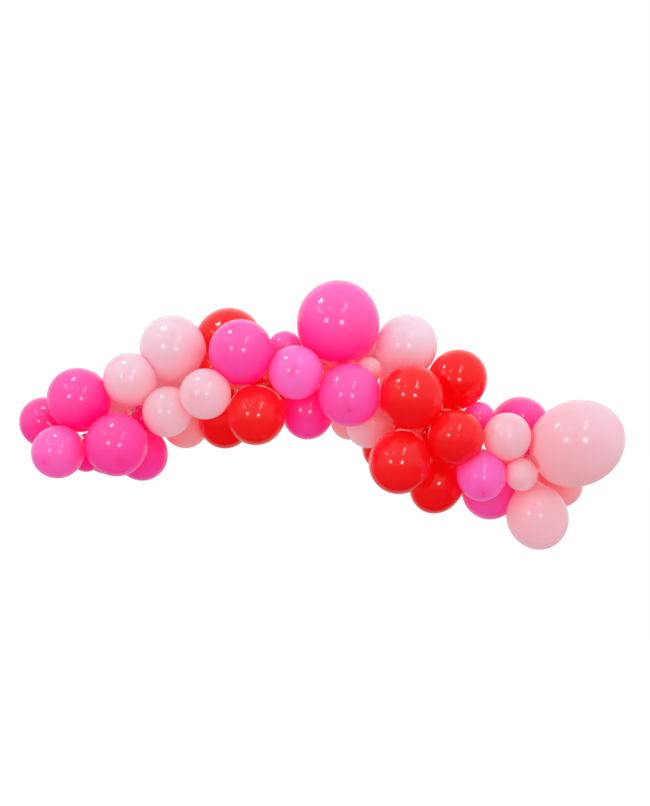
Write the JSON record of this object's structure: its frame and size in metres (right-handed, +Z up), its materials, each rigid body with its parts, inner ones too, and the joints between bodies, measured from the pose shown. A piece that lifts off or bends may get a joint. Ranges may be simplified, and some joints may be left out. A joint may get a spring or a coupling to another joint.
{
  "type": "balloon garland",
  "caption": "Free-form garland of round latex balloons of mixed sizes, knotted in a low arch along a clear perforated strip.",
  "frame": {"origin": "hang point in the middle of the decorating strip, on the strip's back face", "axes": "+X along the garland to its right end, +Y back towards the wall, +Z up"},
  "size_m": [2.5406, 0.5799, 1.1237],
  "materials": {
    "hot_pink_latex": "glossy stretched latex",
    "pale_pink_latex": "soft gloss stretched latex",
    "red_latex": "high gloss stretched latex",
    "clear_strip": "clear flexible plastic"
  },
  "bodies": {
    "root": {"decorating_strip": "clear_strip", "hot_pink_balloon_01": "hot_pink_latex", "hot_pink_balloon_02": "hot_pink_latex", "hot_pink_balloon_03": "hot_pink_latex", "hot_pink_balloon_04": "hot_pink_latex", "hot_pink_balloon_05": "hot_pink_latex", "hot_pink_balloon_06": "hot_pink_latex", "hot_pink_balloon_07": "hot_pink_latex", "hot_pink_balloon_08": "hot_pink_latex", "hot_pink_balloon_09": "hot_pink_latex", "hot_pink_balloon_10": "hot_pink_latex", "hot_pink_balloon_11": "hot_pink_latex", "hot_pink_balloon_12": "hot_pink_latex", "hot_pink_balloon_13": "hot_pink_latex", "hot_pink_balloon_14": "hot_pink_latex", "hot_pink_balloon_15": "hot_pink_latex", "hot_pink_balloon_16": "hot_pink_latex", "hot_pink_balloon_17": "hot_pink_latex", "hot_pink_balloon_18": "hot_pink_latex", "pale_pink_balloon_01": "pale_pink_latex", "pale_pink_balloon_02": "pale_pink_latex", "pale_pink_balloon_03": "pale_pink_latex", "pale_pink_balloon_04": "pale_pink_latex", "pale_pink_balloon_05": "pale_pink_latex", "pale_pink_balloon_06": "pale_pink_latex", "pale_pink_balloon_07": "pale_pink_latex", "pale_pink_balloon_08": "pale_pink_latex", "pale_pink_balloon_09": "pale_pink_latex", "pale_pink_balloon_10": "pale_pink_latex", "pale_pink_balloon_11": "pale_pink_latex", "pale_pink_balloon_12": "pale_pink_latex", "pale_pink_balloon_13": "pale_pink_latex", "pale_pink_balloon_14": "pale_pink_latex", "pale_pink_balloon_15": "pale_pink_latex", "pale_pink_balloon_16": "pale_pink_latex", "pale_pink_balloon_17": "pale_pink_latex", "pale_pink_balloon_18": "pale_pink_latex", "pale_pink_balloon_19": "pale_pink_latex", "pale_pink_balloon_20": "pale_pink_latex", "red_balloon_01": "red_latex", "red_balloon_02": "red_latex", "red_balloon_03": "red_latex", "red_balloon_04": "red_latex", "red_balloon_05": "red_latex", "red_balloon_06": "red_latex", "red_balloon_07": "red_latex", "red_balloon_08": "red_latex", "red_balloon_09": "red_latex", "red_balloon_10": "red_latex", "red_balloon_11": "red_latex", "red_balloon_12": "red_latex"}
  },
  "joints": []
}
